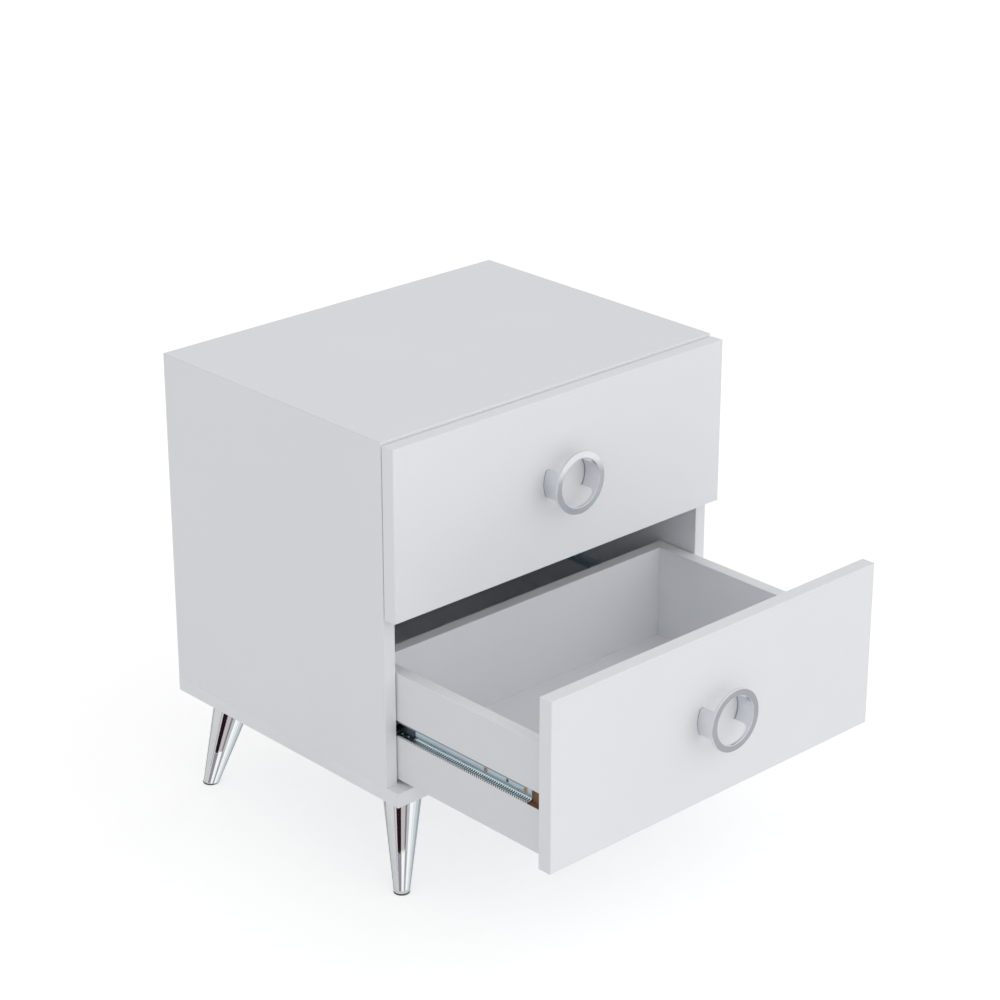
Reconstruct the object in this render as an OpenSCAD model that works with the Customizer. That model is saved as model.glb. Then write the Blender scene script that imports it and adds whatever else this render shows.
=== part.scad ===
// Two-drawer nightstand: a laminated cabinet on four splayed chrome legs,
// with full-width drawer fronts, round ring pulls and groove-mounted ball slides.
// X runs to the right, Y to the back and Z up. The floor is Z = 0, and X = 0 and
// Y = 0 lie at the middle of the footprint with the lower drawer open.

/* [Cabinet] */
// Width over the side panels
width = 508; // [460:2:600]
// Depth of the base panel
depth = 400; // [390:2:460]
// Height of the top surface above the floor
height = 555; // [550:1:600]
// Thickness of the base panel
base_t = 18; // [16:1:22]
// Thickness of the top, the sides and the drawer boxes
panel_t = 16; // [15:1:18]
// Thickness of the back panel and the drawer bottoms
sheet_t = 5; // [3:1:6]

/* [Drawers] */
// Thickness of a drawer front
front_t = 18; // [16:1:22]
// Height of the drawer boxes
box_h = 131; // [120:1:140]
// Depth of the drawer boxes, from the back of the front
box_d = 300; // [290:5:330]
// How far the lower drawer is drawn open
drawer_open = 242; // [0:1:242]

/* [Pulls] */
// Outer diameter of a ring pull
pull_d = 74; // [66:1:84]
// How far a ring pull stands out from its front
pull_reach = 25; // [22:1:32]

/* [Legs] */
// Height of the legs under the base
leg_h = 125; // [100:1:125]
// Diameter of a leg at the base
leg_top_d = 48.6; // [40:0.2:50]
// Diameter of a leg at the floor
leg_foot_d = 18.4; // [16:0.2:24]
// Distance of a leg's centre from the base's edges, at the base
leg_top_inset = 48; // [44:1:60]
// Distance of a leg's centre from the base's edges, at the floor
leg_foot_inset = 23; // [14:1:40]

/* [Hidden] */
$fn = 48;
slack = 0.5;
past = 1;

// Gaps round the drawer fronts
front_gap = 1.5;
base_gap = 2;
between_gap = 3;
top_gap = 3;

// Cabinet
side_d = depth - front_t - front_gap;
front_y = (front_gap + front_t + drawer_open + pull_reach - side_d) / 2;
face_y = front_y - front_gap - front_t;
back_y = front_y + side_d;
half_w = width / 2;
inner_x = half_w - panel_t;
base_top = leg_h + base_t;
front_h = (height - base_top - base_gap - between_gap - top_gap) / 2;
rebate = 8;
mitre_spline = [12, 3];
mitre_inset = 10;
spline_margin = 20;

// Joints of the panels
cam_r = 7.5;
cam_depth = 12.5;
cam_reach = 24;
bolt_r = 3;
bolt_grip = 11;
channel_r = 3.6;
dowel_r = 4;
dowel_short = 10;
dowel_long = 20;
side_cam_ys = [45, side_d - 60];
side_dowel_ys = [85, side_d / 2, side_d - 100];
back_screw_r = 1.6;
back_screw_head_r = 3.2;
back_screw_l = 16;

// Drawer box
box_w = 2 * inner_x - 3;
box_z = 3;
box_top = box_z + box_h;
box_x = box_w / 2;
box_in_x = box_x - panel_t;
bottom_z = box_z + 10;
bottom_seat = 5;
corner_zs = [box_z + 28, box_top - 28];
back_dowel_zs = [box_z + 24, box_top - 24];
front_dowel_z = box_z + 44;
lower_z = base_top + base_gap;
upper_z = lower_z + front_h + between_gap;
bumper_zs = [22, front_h - 22];

// Slides, measured from the cabinet's side as t and from their middle as z
groove_h = 19.6;
groove_t = 10;
slide_z = box_z + box_h / 2 - 2.5;
cab_rail_y = 2;
cab_rail_l = 290;
cab_rail_screw_ys = [35, 160, 265];
rail_y = 36;
rail_half = 9.7;
cab_rail_half = 5.8;
cage_half = 7;
rail_l = box_d - rail_y - 2;
rail_screw_ys = [10, 72, rail_l - 20];
rail_hole_ys = [38, rail_l - 60];
ball_at = [6.2, 7.05];
ball_r = 1.4;
race_r = 1.5;
ball_pitch = 10;
ball_row = 7;
cage_y = 100;
cage_l = ball_pitch * ball_row + 5;
rail_screw_r = 1.75;
rail_head_r = 3;

// Ring pull
pull_r = pull_d / 2;
pull_in_r = pull_r - 8;
pull_leg_in_r = pull_r - 7.5;
pull_leg_r = pull_r - 3;
pull_rim = 4;
pull_round = 0.6;
pull_leg_half = 16;
pull_fillet = 8;
pull_screw_r = 1.5;
pull_screw_x = (pull_leg_r + pull_leg_in_r) / 2;
pull_screw_grip = 10;

// Legs
leg_wall = 1.6;
leg_plate = 3;
glide_h = 1.6;
glide_plug = 10;
stud_r = 4;
insert_r = 6;
insert_l = 13;
base_mid_y = face_y + depth / 2;

laminate = "#e3e7ea";
bare_board = "#a3785a";
zinc = "#b9c6cc";
chrome = "#c9cccf";
dark_steel = "#4a4f55";
beech = "#d8b98c";
glide_black = "#26282a";

// ---- Placing ----

// Mirrors what is drawn for the right-hand side (side = 1) to the left (side = -1).
module on_side(side) {
    if (side < 0)
        mirror([1, 0, 0]) children();
    else
        children();
}

// Both sides at once.
module both_sides() {
    for (side = [-1, 1])
        on_side(side) children();
}

// Extrudes an outline drawn in X and Z along Y.
module along_y(y, length) {
    translate([0, y + length, 0])
        rotate([90, 0, 0])
            linear_extrude(length) children();
}

// Turns Z to point backwards, along Y.
module backwards() {
    rotate([-90, 0, 0]) children();
}

// A drawer's own frame: X = 0 in the middle, Y = 0 on the back of its front,
// Z = 0 at the front's lower edge.
module in_upper() {
    translate([0, front_y - front_gap, upper_z]) children();
}

module in_lower() {
    translate([0, front_y - front_gap - drawer_open, lower_z]) children();
}

// Draws along a line from one point to another, with Z pointing that way.
module aimed(from, to) {
    v = to - from;
    translate(from)
        rotate([0, acos(v.z / norm(v)), atan2(v.y, v.x)]) children();
}

// ---- Fittings ----

// Cam fitting: the joint is at Z = 0, the bolt points up and the cam opens to -X.
module cam_bolt() {
    translate([0, 0, -bolt_grip]) cylinder(r = bolt_r, h = bolt_grip);
    cylinder(r = 2.3, h = cam_reach - 4);
    translate([0, 0, cam_reach - 4]) cylinder(r = 3.2, h = 3.5);
}

module cam_lock() {
    translate([-panel_t / 2, 0, cam_reach])
        rotate([0, 90, 0])
            difference() {
                cylinder(r = cam_r, h = cam_depth);
                translate([0, 0, panel_t / 2])
                    rotate([0, 90, 0])
                        translate([0, 0, -past]) cylinder(r = channel_r, h = cam_r + 2 * past);
                translate([0, 0, 0.6]) cube([8, 1.6, 2.4], center = true);
                translate([0, 0, 0.6]) cube([1.6, 8, 2.4], center = true);
            }
}

module cam_space() {
    translate([-panel_t / 2, 0, cam_reach])
        rotate([0, 90, 0])
            translate([0, 0, -past]) cylinder(r = cam_r, h = cam_depth + past);
    translate([0, 0, -past]) cylinder(r = channel_r, h = cam_reach + past);
}

module bolt_space() {
    translate([0, 0, -bolt_grip]) cylinder(r = bolt_r, h = bolt_grip + past);
}

// A dowel across a joint at Z = 0, with its long end up.
module dowel() {
    translate([0, 0, -dowel_short]) cylinder(r = dowel_r, h = dowel_short + dowel_long);
}

// A flat-headed screw with its head's face at Z = 0, pointing down.
module flat_screw(r, head_r, length) {
    translate([0, 0, -length]) cylinder(r = r, h = length);
    translate([0, 0, r - head_r]) cylinder(r1 = r, r2 = head_r, h = head_r - r);
}

// Cross recess cut into a screw head's face at Z = 0.
module cross_recess(size) {
    cube([size, size / 4, 1.6], center = true);
    cube([size / 4, size, 1.6], center = true);
}

// ---- Cabinet ----

module at_side_cams() {
    both_sides()
        for (y = side_cam_ys)
            translate([half_w - panel_t / 2, front_y + y, base_top]) children();
}

module at_side_dowels() {
    both_sides()
        for (y = side_dowel_ys)
            translate([half_w - panel_t / 2, front_y + y, base_top]) children();
}

module back_sheet() {
    translate([-inner_x - rebate, back_y - sheet_t, base_top - rebate])
        cube([2 * (inner_x + rebate), sheet_t, height - panel_t - base_top + 2 * rebate]);
}

// Back panel screws: along both sides, the top and the base.
module at_back_screws() {
    x = inner_x + rebate / 2;
    low = base_top - rebate / 2;
    high = height - panel_t + rebate / 2;
    for (z = [low + 40, (low + high) / 2, high - 40])
        for (sx = [-1, 1])
            translate([sx * x, back_y, z]) backwards() children();
    for (sx = [-1, 0, 1])
        for (z = [low, high])
            translate([sx * inner_x * 0.6, back_y, z]) backwards() children();
}

module spline(grow = 0) {
    along_y(front_y + spline_margin - grow, side_d - 2 * spline_margin + 2 * grow)
        translate([half_w - mitre_inset, height - mitre_inset])
            rotate(-45) square(mitre_spline, center = true);
}

module top_panel() {
    color(laminate)
        difference() {
            along_y(front_y, side_d)
                polygon([[-half_w, height], [half_w, height],
                         [inner_x, height - panel_t], [-inner_x, height - panel_t]]);
            both_sides() spline();
            back_sheet();
            at_back_screws() flat_screw(back_screw_r, back_screw_head_r, back_screw_l);
        }
}

module side_panel(side) {
    color(laminate)
        difference() {
            on_side(side)
                along_y(front_y, side_d)
                    polygon([[inner_x, base_top], [half_w, base_top],
                             [half_w, height], [inner_x, height - panel_t]]);
            on_side(side) spline();
            back_sheet();
            at_side_cams() cam_space();
            at_side_dowels() dowel();
            at_back_screws() flat_screw(back_screw_r, back_screw_head_r, back_screw_l);
            cabinet_rail_screw_set();
        }
}

module base_panel() {
    color(laminate)
        difference() {
            translate([-half_w, face_y, leg_h]) cube([width, depth, base_t]);
            back_sheet();
            at_side_cams() bolt_space();
            at_side_dowels() dowel();
            at_back_screws() flat_screw(back_screw_r, back_screw_head_r, back_screw_l);
            for (sx = [-1, 1])
                for (sy = [-1, 1])
                    translate(leg_top(sx, sy) - [0, 0, past])
                        cylinder(r = insert_r, h = insert_l + past);
        }
}

module back_panel() {
    color(laminate)
        difference() {
            back_sheet();
            at_back_screws() flat_screw(back_screw_r, back_screw_head_r, back_screw_l);
        }
}

module mitre_spline_strip(side) {
    color(bare_board) on_side(side) spline();
}

module base_dowels() {
    color(beech) at_side_dowels() dowel();
}

module base_cams() {
    color(zinc) at_side_cams() cam_lock();
}

module base_cam_bolts() {
    color(zinc) at_side_cams() cam_bolt();
}

module back_panel_screws() {
    color(zinc)
        at_back_screws()
            difference() {
                flat_screw(back_screw_r, back_screw_head_r, back_screw_l);
                cross_recess(3.6);
            }
}

// ---- Legs ----

function leg_top(sx, sy) =
    [sx * (half_w - leg_top_inset), base_mid_y + sy * (depth / 2 - leg_top_inset), leg_h];

function leg_foot(sx, sy) =
    [sx * (half_w - leg_foot_inset), base_mid_y + sy * (depth / 2 - leg_foot_inset), 0];

// The tapered round of a leg, drawn past both ends and cut level at low and high.
module leg_cone(sx, sy, inset, low, high) {
    top = leg_top(sx, sy);
    foot = leg_foot(sx, sy);
    v = foot - top;
    over = 0.15;
    grow = (leg_top_d - leg_foot_d) / 2 * over;
    intersection() {
        aimed(top - v * over, foot + v * over)
            cylinder(r1 = leg_top_d / 2 - inset + grow, r2 = leg_foot_d / 2 - inset - grow,
                     h = norm(v) * (1 + 2 * over));
        translate([top.x - 100, top.y - 100, low]) cube([200, 200, high - low]);
    }
}

module leg(sx, sy) {
    color(chrome)
        difference() {
            leg_cone(sx, sy, 0, glide_h, leg_h);
            leg_cone(sx, sy, leg_wall, 0, leg_h - leg_plate);
            translate(leg_top(sx, sy) - [0, 0, leg_plate + past])
                cylinder(r = stud_r, h = leg_plate + 2 * past);
        }
}

module glide(sx, sy) {
    color(glide_black) {
        translate(leg_foot(sx, sy)) cylinder(r = leg_foot_d / 2 + 0.2, h = glide_h);
        leg_cone(sx, sy, leg_wall, glide_h, glide_h + glide_plug);
    }
}

// Stud and nut that hold a leg to its insert.
module leg_studs() {
    color(zinc)
        for (sx = [-1, 1])
            for (sy = [-1, 1])
                translate(leg_top(sx, sy)) {
                    translate([0, 0, -14]) cylinder(r = stud_r, h = 14 + insert_l - 1);
                    translate([0, 0, -leg_plate - 6.5]) cylinder(r = 7.5, h = 6.5, $fn = 6);
                }
}

module leg_inserts() {
    color(zinc)
        for (sx = [-1, 1])
            for (sy = [-1, 1])
                translate(leg_top(sx, sy))
                    difference() {
                        cylinder(r = insert_r, h = insert_l);
                        translate([0, 0, -past]) cylinder(r = stud_r, h = insert_l + 2 * past);
                    }
}

// ---- Slides ----

// A slide's section is drawn as t, away from the cabinet's side, and z.
module slide_section(length) {
    translate([inner_x, 0, 0])
        mirror([1, 0, 0])
            along_y(0, length) children();
}

module ball_races() {
    for (sz = [-1, 1])
        translate([ball_at.x, sz * ball_at.y]) circle(race_r);
}

module cabinet_rail_section() {
    difference() {
        union() {
            translate([0, -cab_rail_half]) square([1.2, 2 * cab_rail_half]);
            for (z = [-cab_rail_half, cab_rail_half - 1.5])
                translate([0, z]) square([7.6, 1.5]);
        }
        ball_races();
    }
}

module drawer_rail_section() {
    difference() {
        union() {
            translate([8.9, -rail_half]) square([1.1, 2 * rail_half]);
            for (z = [-rail_half, rail_half - 1.1])
                translate([1.8, z]) square([8.2, 1.1]);
            for (z = [1.8 - rail_half, rail_half - 1.1])
                translate([1.8, z - 0.7]) square([0.8, 0.7]);
        }
        ball_races();
    }
}

// A slotted hole through a rail's web.
module rail_slot(y) {
    translate([inner_x, y, 0])
        rotate([0, -90, 0])
            linear_extrude(groove_t + past)
                union() {
                    translate([-1.5, -3]) square([3, 6]);
                    translate([0, -3]) circle(1.5);
                    translate([0, 3]) circle(1.5);
                }
}

module cabinet_rail(side) {
    color(zinc)
        difference() {
            on_side(side)
                translate([0, front_y + cab_rail_y, slide_z])
                    difference() {
                        slide_section(cab_rail_l) cabinet_rail_section();
                        for (y = [60, 130, 200])
                            rail_slot(y);
                    }
            on_side(side) at_cabinet_rail_screws() rail_screw_space();
        }
}

module at_cabinet_rail_screws() {
    for (y = cab_rail_screw_ys)
        translate([inner_x - 1.2, front_y + cab_rail_y + y, slide_z])
            rotate([0, -90, 0]) children();
}

module rail_screw_space() {
    translate([0, 0, -12]) cylinder(r = rail_screw_r, h = 12 + past);
}

module pan_screw() {
    translate([0, 0, -12]) cylinder(r = rail_screw_r, h = 12);
    difference() {
        cylinder(r = rail_head_r, h = 1.8);
        translate([0, 0, 1.8]) cross_recess(3.4);
    }
}

// Screws of all four cabinet rails, both heights and both sides.
module cabinet_rail_screw_set() {
    for (z = [lower_z, upper_z])
        both_sides()
            translate([0, 0, z]) at_cabinet_rail_screws() pan_screw();
}

module cabinet_rail_screws() {
    color(zinc) cabinet_rail_screw_set();
}

// Ball cage, with its front end at y from the cabinet's front edge.
module ball_cage(side, y) {
    color(dark_steel)
        on_side(side)
            translate([0, front_y + y, slide_z]) {
                difference() {
                    slide_section(cage_l)
                        union() {
                            translate([8, -cage_half]) square([0.6, 2 * cage_half]);
                            for (z = [-cage_half, cage_half - 0.6])
                                translate([4.2, z]) square([4.4, 0.6]);
                        }
                    at_balls() cylinder(r = race_r, h = 2, center = true);
                }
                at_balls() sphere(ball_r);
            }
}

module at_balls() {
    for (i = [0 : ball_row - 1])
        for (sz = [-1, 1])
            translate([inner_x - ball_at.x, 7.5 + i * ball_pitch, sz * ball_at.y]) children();
}

// ---- Drawers, each in its own frame ----

module at_front_cams() {
    both_sides()
        for (z = corner_zs)
            translate([box_x - panel_t / 2, 0, z]) backwards() children();
}

module at_front_dowels() {
    both_sides()
        translate([box_x - panel_t / 2, 0, front_dowel_z]) backwards() children();
}

// Dowels from the sides into the back's ends, long end inwards.
module at_back_dowels() {
    both_sides()
        for (z = back_dowel_zs)
            translate([box_in_x, box_d - panel_t / 2, z])
                rotate([0, -90, 0]) children();
}

module bottom_sheet(grow = 0) {
    x = box_in_x + bottom_seat + grow;
    y = bottom_seat + grow;
    translate([-x, -y, bottom_z])
        cube([2 * x, box_d - panel_t + 2 * y, sheet_t]);
}

module at_pull_screws() {
    for (sx = [-1, 1])
        translate([sx * pull_screw_x, 0, front_h / 2])
            rotate([90, 0, 0]) children();
}

// A pull screw, from its head on the back of the front into the pull.
module pull_screw() {
    cylinder(r = pull_screw_r, h = front_t + pull_screw_grip);
    translate([0, 0, -2])
        difference() {
            cylinder(r = 3, h = 2);
            cross_recess(3.6);
        }
}

module drawer_front() {
    color(laminate)
        difference() {
            translate([-half_w, -front_t, 0]) cube([width, front_t, front_h]);
            bottom_sheet(slack);
            at_front_cams() bolt_space();
            at_front_dowels() dowel();
            at_pull_screws() pull_screw();
        }
}

module drawer_side(side) {
    color(laminate)
        difference() {
            on_side(side)
                difference() {
                    translate([box_in_x, 0, box_z]) cube([panel_t, box_d, box_h]);
                    translate([inner_x - groove_t, -past, slide_z - groove_h / 2])
                        cube([groove_t, box_d + 2 * past, groove_h]);
                }
            bottom_sheet(slack);
            at_front_cams() cam_space();
            at_front_dowels() dowel();
            at_back_dowels() dowel();
            at_drawer_rail_screws() flat_rail_screw();
        }
}

module drawer_back() {
    color(laminate)
        difference() {
            translate([-box_in_x, box_d - panel_t, box_z]) cube([2 * box_in_x, panel_t, box_h]);
            bottom_sheet(slack);
            at_back_dowels() dowel();
        }
}

module drawer_bottom() {
    color(laminate) bottom_sheet();
}

module drawer_rail(side) {
    color(zinc)
        difference() {
            on_side(side)
                translate([0, rail_y, slide_z])
                    difference() {
                        slide_section(rail_l) drawer_rail_section();
                        for (y = rail_hole_ys)
                            rail_slot(y);
                    }
            at_drawer_rail_screws() flat_rail_screw();
        }
}

module at_drawer_rail_screws() {
    both_sides()
        for (y = rail_screw_ys)
            translate([inner_x - 8.9, rail_y + y, slide_z])
                rotate([0, 90, 0]) children();
}

module flat_rail_screw() {
    flat_screw(rail_screw_r, rail_head_r, 7.4);
}

module drawer_rail_screws() {
    color(zinc)
        at_drawer_rail_screws()
            difference() {
                flat_rail_screw();
                cross_recess(3.4);
            }
}

module drawer_cams() {
    color(zinc) at_front_cams() cam_lock();
}

module drawer_cam_bolts() {
    color(zinc) at_front_cams() cam_bolt();
}

module drawer_dowels() {
    color(beech) {
        at_front_dowels() dowel();
        at_back_dowels() dowel();
    }
}

module front_bumpers() {
    color("#d9dde0")
        both_sides()
            for (z = bumper_zs)
                translate([half_w - panel_t / 2, 0, z])
                    backwards() cylinder(r1 = 4, r2 = 3.2, h = front_gap - 0.3);
}

// ---- Ring pull ----

// Half section: radius across, distance from the drawer front upwards.
module pull_section() {
    rim_z = pull_reach - pull_rim;
    translate([pull_leg_in_r, 0]) square([pull_leg_r - pull_leg_in_r, rim_z]);
    translate([pull_in_r, rim_z]) square([pull_r - pull_in_r, pull_rim - pull_round]);
    translate([pull_in_r + pull_round, rim_z])
        square([pull_r - pull_in_r - 2 * pull_round, pull_rim]);
    for (r = [pull_in_r + pull_round, pull_r - pull_round])
        translate([r, pull_reach - pull_round]) circle(pull_round);
    translate([pull_leg_r, rim_z - 3])
        difference() {
            square([pull_r - pull_leg_r, 3]);
            translate([pull_r - pull_leg_r, 0]) circle(3);
        }
}

// Opening between the two feet: height across, distance from the front upwards.
module pull_window() {
    rim_z = pull_reach - pull_rim;
    reach = pull_r - pull_leg_half + past;
    translate([pull_leg_half, -past]) square([reach, rim_z - pull_fillet + past]);
    translate([pull_leg_half + pull_fillet, -past]) square([reach, rim_z + past]);
    translate([pull_leg_half + pull_fillet, rim_z - pull_fillet]) circle(pull_fillet);
}

module ring_pull() {
    color(chrome)
        difference() {
            translate([0, -front_t, front_h / 2])
                rotate([90, 0, 0])
                    difference() {
                        rotate_extrude() pull_section();
                        for (turn = [0, 180])
                            rotate([0, 0, turn])
                                rotate([90, 0, 90])
                                    linear_extrude(2 * pull_d, center = true) pull_window();
                    }
            at_pull_screws() cylinder(r = pull_screw_r, h = front_t + pull_screw_grip);
        }
}

module pull_screws() {
    color(zinc) at_pull_screws() pull_screw();
}

// ---- Nodes ----

top_panel();
side_panel(-1);  // left_side_panel
side_panel(1);  // right_side_panel
base_panel();
back_panel();
mitre_spline_strip(-1);  // left_mitre_spline
mitre_spline_strip(1);  // right_mitre_spline
base_dowels();
base_cams();
base_cam_bolts();
back_panel_screws();

leg(-1, -1);  // front_left_leg
leg(1, -1);  // front_right_leg
leg(-1, 1);  // rear_left_leg
leg(1, 1);  // rear_right_leg
glide(-1, -1);  // front_left_glide
glide(1, -1);  // front_right_glide
glide(-1, 1);  // rear_left_glide
glide(1, 1);  // rear_right_glide
leg_studs();
leg_inserts();

translate([0, 0, upper_z]) cabinet_rail(-1);  // upper_left_cabinet_rail
translate([0, 0, upper_z]) cabinet_rail(1);  // upper_right_cabinet_rail
translate([0, 0, lower_z]) cabinet_rail(-1);  // lower_left_cabinet_rail
translate([0, 0, lower_z]) cabinet_rail(1);  // lower_right_cabinet_rail
cabinet_rail_screws();

translate([0, 0, upper_z]) ball_cage(-1, cage_y);  // upper_left_ball_cage
translate([0, 0, upper_z]) ball_cage(1, cage_y);  // upper_right_ball_cage
translate([0, 0, lower_z]) ball_cage(-1, cage_y - drawer_open / 2);  // lower_left_ball_cage
translate([0, 0, lower_z]) ball_cage(1, cage_y - drawer_open / 2);  // lower_right_ball_cage

in_upper() drawer_front();  // upper_drawer_front
in_upper() drawer_side(-1);  // upper_drawer_left_side
in_upper() drawer_side(1);  // upper_drawer_right_side
in_upper() drawer_back();  // upper_drawer_back
in_upper() drawer_bottom();  // upper_drawer_bottom
in_upper() ring_pull();  // upper_ring_pull
in_upper() pull_screws();  // upper_pull_screws
in_upper() drawer_rail(-1);  // upper_left_drawer_rail
in_upper() drawer_rail(1);  // upper_right_drawer_rail
in_upper() drawer_rail_screws();  // upper_drawer_rail_screws
in_upper() drawer_cams();  // upper_drawer_cams
in_upper() drawer_cam_bolts();  // upper_drawer_cam_bolts
in_upper() drawer_dowels();  // upper_drawer_dowels
in_upper() front_bumpers();  // upper_front_bumpers

in_lower() drawer_front();  // lower_drawer_front
in_lower() drawer_side(-1);  // lower_drawer_left_side
in_lower() drawer_side(1);  // lower_drawer_right_side
in_lower() drawer_back();  // lower_drawer_back
in_lower() drawer_bottom();  // lower_drawer_bottom
in_lower() ring_pull();  // lower_ring_pull
in_lower() pull_screws();  // lower_pull_screws
in_lower() drawer_rail(-1);  // lower_left_drawer_rail
in_lower() drawer_rail(1);  // lower_right_drawer_rail
in_lower() drawer_rail_screws();  // lower_drawer_rail_screws
in_lower() drawer_cams();  // lower_drawer_cams
in_lower() drawer_cam_bolts();  // lower_drawer_cam_bolts
in_lower() drawer_dowels();  // lower_drawer_dowels
in_lower() front_bumpers();  // lower_front_bumpers
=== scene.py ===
"""Looks of a two-drawer nightstand with ring pulls and splayed chrome legs.

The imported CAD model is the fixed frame. Visible parts are modelled again at the same
size and place with finer edges and details, and everything gets a procedural finish.
All lengths are in metres: X to the right, Y to the back, Z up, floor at zero.
"""

import logging
import math
from collections.abc import Callable, Iterable, Sequence
from dataclasses import dataclass, field
from enum import Enum

import bpy
from mathutils import Euler, Matrix, Vector


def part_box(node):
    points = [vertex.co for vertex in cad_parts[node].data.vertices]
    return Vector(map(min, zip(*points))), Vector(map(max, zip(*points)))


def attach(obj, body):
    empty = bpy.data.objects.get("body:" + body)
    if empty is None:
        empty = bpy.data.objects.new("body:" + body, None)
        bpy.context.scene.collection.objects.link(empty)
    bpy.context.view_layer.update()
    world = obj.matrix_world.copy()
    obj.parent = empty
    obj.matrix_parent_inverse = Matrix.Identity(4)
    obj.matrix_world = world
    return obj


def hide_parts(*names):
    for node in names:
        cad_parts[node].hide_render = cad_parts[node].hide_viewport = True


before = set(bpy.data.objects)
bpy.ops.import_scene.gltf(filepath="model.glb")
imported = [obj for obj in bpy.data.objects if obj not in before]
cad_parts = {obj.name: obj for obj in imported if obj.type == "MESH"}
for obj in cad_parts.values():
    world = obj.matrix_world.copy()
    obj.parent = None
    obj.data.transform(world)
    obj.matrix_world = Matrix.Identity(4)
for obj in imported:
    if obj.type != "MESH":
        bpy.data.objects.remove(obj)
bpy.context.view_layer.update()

log = logging.getLogger("nightstand")

Colour = tuple[float, float, float]
Test = Callable[[Vector, Vector], bool]

MM = 0.001
TOUCH = 0.01 * MM
WELD = 0.001 * MM
BOARD = 16 * MM
CABINET = "cabinet"


class Side(Enum):
    """The two mirrored halves of the cabinet."""

    LEFT = -1
    RIGHT = 1

    @property
    def word(self) -> str:
        """The side as it stands in the names of nodes."""
        return self.name.lower()


class Tier(Enum):
    """The two drawers."""

    UPPER = "upper"
    LOWER = "lower"

    @property
    def body(self) -> str:
        """The name of the drawer's moving body."""
        return f"{self.value}_drawer"


# ---- Shader maths -------------------------------------------------------------------


class Signal:
    """An output socket that can be used in Python expressions on values."""

    def __init__(self, tree: "ShaderTree", socket: bpy.types.NodeSocket | None) -> None:
        """Wraps one socket.

        Args:
            tree: The tree that the socket belongs to.
            socket: The output socket.
        """
        self.tree = tree
        self.socket = socket

    def _math(self, operation: str, first: "Signal | float", second: "Signal | float") -> "Signal":
        """Adds one Math node and returns its result."""
        return self.tree.node("ShaderNodeMath", {"operation": operation}, {0: first, 1: second})

    def __add__(self, other: "Signal | float") -> "Signal":
        """Sum."""
        return self._math("ADD", self, other)

    __radd__ = __add__

    def __sub__(self, other: "Signal | float") -> "Signal":
        """Difference."""
        return self._math("SUBTRACT", self, other)

    def __rsub__(self, other: "Signal | float") -> "Signal":
        """Difference, reflected."""
        return self._math("SUBTRACT", other, self)

    def __mul__(self, other: "Signal | float") -> "Signal":
        """Product."""
        return self._math("MULTIPLY", self, other)

    __rmul__ = __mul__

    def wave(self) -> "Signal":
        """The sine of this value."""
        return self._math("SINE", self, 0.0)

    def above(self, limit: float) -> "Signal":
        """1 where the value is over a limit, and 0 elsewhere."""
        return self._math("GREATER_THAN", self, limit)


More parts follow.
